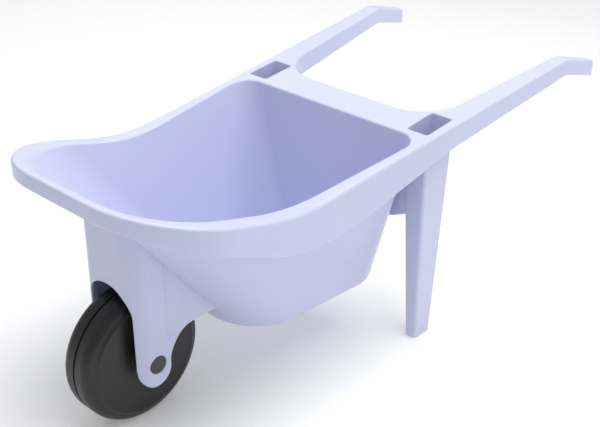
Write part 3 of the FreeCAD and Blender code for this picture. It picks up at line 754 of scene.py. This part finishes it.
# ---------------------------------------------------------------- the fork and the apron
def fork_outline(fork, tub):
    """The fork laid flat: s runs round its front from the middle, z is its height."""
    straight = FORK_HALF - fork.corner
    bend = straight + fork.corner * math.pi / 2
    centre_x = FORK_FRONT + fork.corner
    slope = math.tan(tub.scoop)
    foot_x = floor_front(tub)
    sunk = 0.6 * WALL

    def along(x):
        """s of a place on the cheek or on the front corner."""
        if x >= centre_x:
            return bend + x - centre_x
        return straight + fork.corner * math.acos((centre_x - x) / fork.corner)

    def top(x, y):
        """Just inside the tub's front wall, which turns back towards its corners."""
        z = FLOOR + (foot_x - x) * slope
        share = (z - FLOOR) / (bpy.context.scene.cart_deck.height + tub.blank_top - FLOOR)
        radius = tub.scoop_low + (tub.scoop_high - tub.scoop_low) * share
        half = (tub.half + (z - FLOOR) * math.tan(tub.side_draft)
                - (tub.rear - x) * math.tan(tub.taper))
        over = max(0.0, y - half + radius)
        shift = radius - math.sqrt(radius ** 2 - over ** 2)
        return z + (sunk + shift) * slope

    arch_side = straight + fork.corner * math.asin((ARCH_HALF - straight) / fork.corner)
    arch_top = 2 * AXLE.z + fork.arch_room
    path = [(0, arch_top)]
    for turn in np.linspace(0, math.pi / 2, 10):
        path.append((arch_side - fork.arch_corner * (1 - math.sin(turn)),
                     arch_top - fork.arch_corner * (1 - math.cos(turn))))
    hollow_x = AXLE.x + fork.hollow_start
    ear_x, ear_z = hollow_x - fork.ear_radius, AXLE.z - fork.ear_drop
    path += [(arch_side, z) for z in np.linspace(arch_top - fork.arch_corner, ear_z, 12)[1:-1]]
    for turn in np.linspace(-math.pi / 2, math.pi / 2, 30):
        path.append((along(ear_x + fork.ear_radius * math.sin(turn)),
                     ear_z - fork.ear_radius * math.cos(turn)))
    hollow = (hollow_x + fork.hollow, AXLE.z + fork.web_rise - fork.hollow)
    for turn in np.linspace(math.pi, math.pi / 2, 20):
        path.append((along(hollow[0] + fork.hollow * math.cos(turn)),
                     hollow[1] + fork.hollow * math.sin(turn)))
    web_z = AXLE.z + fork.web_rise
    low, high = hollow[0], foot_x
    for _ in range(SEARCH_STEPS):
        middle = (low + high) / 2
        low, high = (middle, high) if top(middle, FORK_HALF) > web_z else (low, middle)
    path += [(along(x), web_z) for x in np.linspace(hollow[0], low, 5)[1:]]
    path += [(along(x), top(x, FORK_HALF)) for x in np.linspace(low, centre_x, 16)[1:]]
    for turn in np.linspace(math.pi / 2, 0, 8)[1:]:
        x = centre_x - fork.corner * math.cos(turn)
        y = straight + fork.corner * math.sin(turn)
        path.append((straight + fork.corner * turn, top(x, y)))
    path += [(s, top(FORK_FRONT, s)) for s in np.linspace(straight, 0, 6)[1:]]
    right = np.array(path)
    left = right[-2:0:-1] * (-1, 1)
    return np.vstack([right, left])


def bend_fork(fork):
    """The mapping from the flat fork to its place."""
    straight = FORK_HALF - fork.corner
    quarter = fork.corner * math.pi / 2

    def mapping(s, z, t):
        side = np.sign(s)
        past = np.abs(s) - straight
        turn = np.clip(past, 0, quarter) / fork.corner
        back = np.maximum(past - quarter, 0)
        x = FORK_FRONT + fork.corner * (1 - np.cos(turn)) + back
        y = np.minimum(np.abs(s), straight) + fork.corner * np.sin(turn)
        crease = FORK_FRONT + fork.pillar
        inwards = (smooth_step(x, crease - fork.crease / 2, crease + fork.crease / 2)
                   * smooth_step(z, AXLE.z + fork.fade_low, AXLE.z + fork.fade_high))
        t = t + fork.step * inwards * (1 - t / WALL)
        return np.array([x + t * np.cos(turn), side * (y - t * np.sin(turn)), z])
    return mapping


def circle(centre, radius, steps):
    """Points of a closed circle."""
    angles = np.linspace(0, 2 * math.pi, steps, endpoint=False)
    return np.array(centre) + radius * np.column_stack([np.cos(angles), np.sin(angles)])


def build_fork(fork, tub):
    """Front plate, cheeks and webs: one plate, bent round the wheel."""
    mesh = bmesh.new()
    straight = FORK_HALF - fork.corner
    quarter = fork.corner * math.pi / 2
    centre_x = FORK_FRONT + fork.corner
    axle_s = straight + quarter + AXLE.x - centre_x
    seat = HEAD_RADIUS + fork.seat_gap
    loops = [fork_outline(fork, tub)]
    loops += [circle((side * axle_s, AXLE.z), seat, 64) for side in (1, -1)]
    crease_s = straight + quarter + FORK_FRONT + fork.pillar - centre_x
    cuts = [straight + quarter * step / 10 for step in range(11)]
    cuts += around(crease_s, fork.crease / 6, 3)
    levels = [AXLE.z + fork.fade_low + (fork.fade_high - fork.fade_low) * step / 5
              for step in range(6)]
    plate(mesh, loops, WALL, fork.edge, ([side * s for s in cuts for side in (1, -1)], levels))
    reshape(mesh, bend_fork(fork))
    return mesh


def build_apron(tub, sizes):
    """The panel between the legs, under the rail, with an arched lower edge."""
    deck = deck_line(sizes)
    front = LEG_FRONT + MM
    into_leg, into_deck = 1.2 * MM, 0.6 * MM
    edge, lower_end = 0.8 * MM, 170 * MM      # its edge radius, and its height at a leg
    centre_z = tub.apron_height + tub.apron_arc

    def leg_inside(z):
        return leg_corners(tub, z, 0, 1)[0][1]

    top_z = float(deck(front)) - WALL + into_deck
    low_z = centre_z - math.sqrt(tub.apron_arc ** 2 - leg_inside(lower_end) ** 2)
    low_y = leg_inside(low_z) + into_leg
    top_y = leg_inside(top_z) + into_leg
    lower = [(y, centre_z - math.sqrt(tub.apron_arc ** 2 - y ** 2))
             for y in np.linspace(-low_y, low_y, 40)]
    right_up = [(low_y + (top_y - low_y) * share, lower[-1][1] + (top_z - lower[-1][1]) * share)
                for share in np.linspace(0, 1, 8)[1:]]
    upper = [(y, top_z) for y in np.linspace(top_y, -top_y, 12)[1:]]
    left_down = [(-y, z) for y, z in reversed(right_up[:-1])]
    mesh = bmesh.new()
    plate(mesh, [np.array(lower + right_up + upper + left_down)], tub.leg_wall, edge, ())
    reshape(mesh, lambda s, z, t: np.array([front + t, s, z]))
    return mesh


# ---------------------------------------------------------------- turned pieces
def turning_tree():
    """Geometry nodes that repeat a wedge round the axle and weld it into one solid."""
    tree = bpy.data.node_groups.get("Turned piece")
    if tree:
        return tree
    tree = bpy.data.node_groups.new("Turned piece", "GeometryNodeTree")
    for name, kind in (("Wedge", "NodeSocketGeometry"), ("Segments", "NodeSocketInt"),
                       ("Centre", "NodeSocketVector"), ("Weld", "NodeSocketFloat"),
                       ("Material", "NodeSocketMaterial")):
        tree.interface.new_socket(name, in_out="INPUT", socket_type=kind)
    tree.interface.new_socket("Geometry", in_out="OUTPUT", socket_type="NodeSocketGeometry")
    given = tree.nodes.new("NodeGroupInput").outputs
    step = add_node(tree, "ShaderNodeMath", {"operation": "DIVIDE"},
                    {0: 2 * math.pi, 1: given["Segments"]})
    index = add_node(tree, "GeometryNodeInputIndex")
    turn = add_node(tree, "ShaderNodeMath", {"operation": "MULTIPLY"},
                    {0: index.outputs[0], 1: step.outputs[0]})
    euler = add_node(tree, "ShaderNodeCombineXYZ", None, {"Y": turn.outputs[0]})
    rotation = add_node(tree, "FunctionNodeEulerToRotation", None, {0: euler.outputs[0]})
    points = add_node(tree, "GeometryNodePoints", None, {"Count": given["Segments"]})
    wedges = add_node(tree, "GeometryNodeInstanceOnPoints", None, {
        "Points": points.outputs[0], "Instance": given["Wedge"],
        "Rotation": rotation.outputs[0]})
    placed = add_node(tree, "GeometryNodeTransform", None, {
        "Geometry": wedges.outputs[0], "Translation": given["Centre"]})
    real = add_node(tree, "GeometryNodeRealizeInstances", None, {"Geometry": placed.outputs[0]})
    welded = add_node(tree, "GeometryNodeMergeByDistance", None, {
        "Geometry": real.outputs[0], "Distance": given["Weld"]})
    coated = add_node(tree, "GeometryNodeSetMaterial", None, {
        "Geometry": welded.outputs[0], "Material": given["Material"]})
    add_node(tree, "NodeGroupOutput", None, {"Geometry": coated.outputs[0]})
    return tree


def turn_profile(name, profile, finish):
    """An object turned round the axle from a closed profile of (radius, y) points."""
    segments = bpy.context.scene.cart_wheel.segments
    step = 2 * math.pi / segments
    mesh = bmesh.new()
    edges = [[mesh.verts.new((radius * math.cos(a), y, -radius * math.sin(a)))
              for radius, y in profile] for a in (0, step)]
    skin(mesh, edges)
    bmesh.ops.remove_doubles(mesh, verts=mesh.verts[:], dist=TOUCH)
    piece = mesh_object(name, mesh)
    tree = turning_tree()
    modifier = piece.modifiers.new("Turned", "NODES")
    modifier.node_group = tree
    given = {"Segments": segments, "Centre": AXLE, "Weld": 10 * TOUCH, "Material": finish}
    for item in tree.interface.items_tree:
        if item.in_out == "INPUT" and item.name in given:
            modifier[item.identifier] = given[item.name]
    make_plain(piece)
    mesh = bmesh.new()
    mesh.from_mesh(piece.data)
    bmesh.ops.recalc_face_normals(mesh, faces=mesh.faces[:])
    mesh.to_mesh(piece.data)
    mesh.free()
    return piece


def arc(centre, radius, start, end, steps):
    """Points of an arc in a profile; in degrees, 0 is away from the axle and 90 along +y."""
    return [(centre[0] + radius * math.cos(math.radians(a)),
             centre[1] + radius * math.sin(math.radians(a)))
            for a in np.linspace(start, end, steps)]


def wheel_profile(wheel):
    """Half the wheel: disc, raised lip, round shoulder, crowned tread and half the groove."""
    tread, shell, lip, hub = AXLE.z, wheel.shell, wheel.lip, HUB_RADIUS
    disc = DISC_HALF - wheel.lip_height
    collar = hub + 6 * MM                      # outside of the raised collar round the hub
    slope = 2.2 * MM                           # width of the lip's inner slope
    small, soft, valley = 0.5 * MM, 0.8 * MM, 0.6 * MM     # radii of the edges
    shoulder = tread - DISC_HALF + wheel.crown + slope
    floor = tread - wheel.groove_depth
    points = [(hub, disc - shell), (hub, DISC_HALF - small)]
    points += arc((hub + small, DISC_HALF - small), small, 180, 90, 3)[1:]
    points += [(collar, DISC_HALF)]
    points += arc((collar + soft, disc + soft), soft, 180, 270, 4)[1:]
    points += arc((lip - slope, disc + valley), valley, 270, 340, 3)
    points += arc((lip, DISC_HALF - soft), soft, 150, 20, 7)
    points += arc((shoulder, wheel.crown), tread - shoulder, 80, 0, 12)
    points += [(tread, wheel.groove + soft)]
    points += arc((tread - soft, wheel.groove + soft), soft, 0, -90, 4)[1:]
    points += [(floor, wheel.groove), (floor, 0), (floor - shell, 0), (floor - shell, wheel.crown),
               (lip - shell, disc - 2 * shell), (lip - 2 * shell, disc - shell)]
    return points


def head_profile(start, end, side):
    """A round head with a slightly domed face and a small chamfer."""
    face, back = side * end, side * start
    dome = 0.08 * MM
    edge = [(HEAD_RADIUS - inset * MM, face - side * depth * MM) for inset, depth in HEAD_CHAMFER]
    return [(0, back), (HEAD_RADIUS, back), *edge, (HEAD_RADIUS / 2, face - side * dome),
            (0, face)]


# ---------------------------------------------------------------- operators
class Undoable:
    """What the operators share."""
    bl_options = {"REGISTER", "UNDO"}


class CART_OT_body(Undoable, bpy.types.Operator):
    """Make the moulded body: deck, skirt, tub, handles and legs"""
    bl_idname = "cart.body"
    bl_label = "Moulded body"

    def execute(self, context):
        scene = context.scene
        mesh = build_body(scene.cart_deck, scene.cart_tub)
        make_piece("moulded_body", mesh, "body_moulding", material(moulded_polypropylene),
                   [
                       "tub_floor", "tub_rear_wall", "tub_front_scoop", "left_tub_side",
                       "right_tub_side", "front_lip", "left_rim", "right_rim", "rear_rail",
                       "left_handle", "right_handle", "left_leg", "right_leg"])
        return {"FINISHED"}


class CART_OT_fork(Undoable, bpy.types.Operator):
    """Make the wheel fork and the bosses inside its cheeks"""
    bl_idname = "cart.fork"
    bl_label = "Wheel fork"

    def execute(self, context):
        scene = context.scene
        fork = scene.cart_fork
        finish = material(moulded_polypropylene)
        make_piece("wheel_fork", build_fork(fork, scene.cart_tub), "body_moulding",
                   finish,
                   ["fork_front_plate", "left_fork_cheek", "right_fork_cheek"])
        bore_edge, boss_edge = 0.6 * MM, MM
        boss, seat = fork.boss_radius, HEAD_RADIUS + fork.seat_gap
        bore = scene.cart_wheel.shank + fork.seat_gap
        floor = FORK_HALF - HEAD_LENGTH - fork.seat_gap
        outside = FORK_HALF - 1.6 * MM        # ends in the thickness of the cheek
        for word, side in (("left", 1), ("right", -1)):
            profile = [(bore, ARCH_HALF + bore_edge), (bore + bore_edge, ARCH_HALF),
                       (boss - boss_edge, ARCH_HALF), (boss, ARCH_HALF + boss_edge),
                       (boss, outside), (seat, outside), (seat, floor), (bore, floor)]
            piece = turn_profile(word + "_fork_boss", [(r, side * y) for r, y in profile],
                                 finish)
            finish_piece(piece, "body_moulding", finish, [])
        return {"FINISHED"}


class CART_OT_apron(Undoable, bpy.types.Operator):
    """Make the panel between the legs"""
    bl_idname = "cart.apron"
    bl_label = "Rear apron"

    def execute(self, context):
        scene = context.scene
        make_piece("apron_panel", build_apron(scene.cart_tub, scene.cart_deck), "body_moulding",
                   material(moulded_polypropylene), ["rear_apron"])
        return {"FINISHED"}


class CART_OT_wheel(Undoable, bpy.types.Operator):
    """Make the wheel's two halves and give the hub its material"""
    bl_idname = "cart.wheel"
    bl_label = "Wheel"

    def execute(self, context):
        finish = material(moulded_polyethylene)
        for word, side in (("left", 1), ("right", -1)):
            profile = [(r, side * y) for r, y in wheel_profile(context.scene.cart_wheel)]
            half = turn_profile(word + "_wheel_shell", profile, finish)
            finish_piece(half, "wheel", finish, [word + "_wheel_half"])
        hub = frame["nodes"]["wheel_hub"]
        hub.data.materials.clear()
        hub.data.materials.append(finish)
        return {"FINISHED"}


class CART_OT_axle(Undoable, bpy.types.Operator):
    """Make the axle's head, shank and end cap"""
    bl_idname = "cart.axle"
    bl_label = "Axle"

    def execute(self, context):
        finish = material(moulded_polyamide)
        seat = FORK_HALF - HEAD_LENGTH
        shank = context.scene.cart_wheel.shank
        pin = head_profile(seat, FORK_HALF, -1)
        pin[0] = (shank, -seat)
        pin = [(0, FORK_HALF - MM), (shank, FORK_HALF - MM)] + pin
        bore = shank + 0.05 * MM
        cap_profile = [(bore, seat), *head_profile(seat, FORK_HALF, 1)[1:-1],
                       (bore, FORK_HALF - 0.1 * MM)]
        for name, profile, node in (("axle_with_head", pin, "axle_pin"),
                                    ("axle_cap", cap_profile, "axle_end_cap")):
            piece = turn_profile(name, profile, finish)
            finish_piece(piece, "body_moulding", finish, [node])
        return {"FINISHED"}


class CART_OT_stage(Undoable, bpy.types.Operator):
    """Make the floor, the lights and the camera"""
    bl_idname = "cart.stage"
    bl_label = "Stage"

    def execute(self, context):
        scene = context.scene
        stage = scene.cart_stage
        mesh = bmesh.new()
        bmesh.ops.create_grid(mesh, x_segments=1, y_segments=1, size=FLOOR_SIZE)
        floor = mesh_object("floor", mesh)
        finish, tree = new_material("painted_floor")
        shader = add_node(tree, "ShaderNodeBsdfPrincipled", None, {
            "Base Color": scene.cart_colours.floor, "Roughness": 0.9,
            "Specular IOR Level": 0.1, "Emission Color": (1, 1, 1, 1),
            "Emission Strength": stage.floor_glow})
        add_node(tree, "ShaderNodeOutputMaterial", None, {"Surface": shader.outputs["BSDF"]})
        floor.data.materials.append(finish)

        world = bpy.data.worlds.new("studio")
        world.use_nodes = True
        background = world.node_tree.nodes["Background"].inputs
        background["Color"].default_value = (1, 1, 1, 1)
        background["Strength"].default_value = stage.surroundings
        scene.world = world

        aim = Vector((stage.aim_x, 0, stage.aim_z))
        for name, place, width, power in LAMPS:
            lamp = bpy.data.lights.new(name, "AREA")
            lamp.shape = "SQUARE"
            lamp.size = width
            lamp.energy = power
            item = add_object(name, lamp)
            item.location = place
            item.rotation_euler = (aim - item.location).to_track_quat("-Z", "Y").to_euler()

        back = Vector((math.sin(stage.azimuth) * math.cos(stage.elevation),
                       -math.cos(stage.azimuth) * math.cos(stage.elevation),
                       math.sin(stage.elevation)))
        camera = add_object("camera", bpy.data.cameras.new("camera"))
        camera.data.lens = stage.lens
        camera.data.sensor_width = SENSOR_WIDTH
        camera.location = aim + back * stage.distance
        camera.rotation_euler = (-back).to_track_quat("-Z", "Y").to_euler()
        scene.camera = camera
        scene.view_settings.view_transform = "Standard"
        return {"FINISHED"}


class CART_PT_panel(bpy.types.Panel):
    """Buttons that make each piece"""
    bl_label = "Garden Cart"
    bl_idname = "CART_PT_panel"
    bl_space_type = "VIEW_3D"
    bl_region_type = "UI"
    bl_category = "Cart"

    def draw(self, context):
        for operator in OPERATORS:
            self.layout.operator(operator.bl_idname)


OPERATORS = (CART_OT_stage, CART_OT_body, CART_OT_fork, CART_OT_apron, CART_OT_wheel,
             CART_OT_axle)
GROUPS = {"cart_deck": DeckSizes, "cart_tub": TubSizes, "cart_fork": ForkSizes,
          "cart_wheel": WheelSizes, "cart_colours": CartColours, "cart_stage": StageSettings}


def register():
    for item in (*GROUPS.values(), *OPERATORS, CART_PT_panel):
        bpy.utils.register_class(item)
    for name, group in GROUPS.items():
        setattr(bpy.types.Scene, name, PointerProperty(type=group))


def unregister():
    for name in GROUPS:
        delattr(bpy.types.Scene, name)
    for item in reversed((*GROUPS.values(), *OPERATORS, CART_PT_panel)):
        bpy.utils.unregister_class(item)


def main():
    """Make the whole cart."""
    register()
    bpy.ops.cart.stage()
    bpy.ops.cart.body()
    bpy.ops.cart.fork()
    bpy.ops.cart.apron()
    bpy.ops.cart.wheel()
    bpy.ops.cart.axle()


if __name__ == "__main__":
    main()
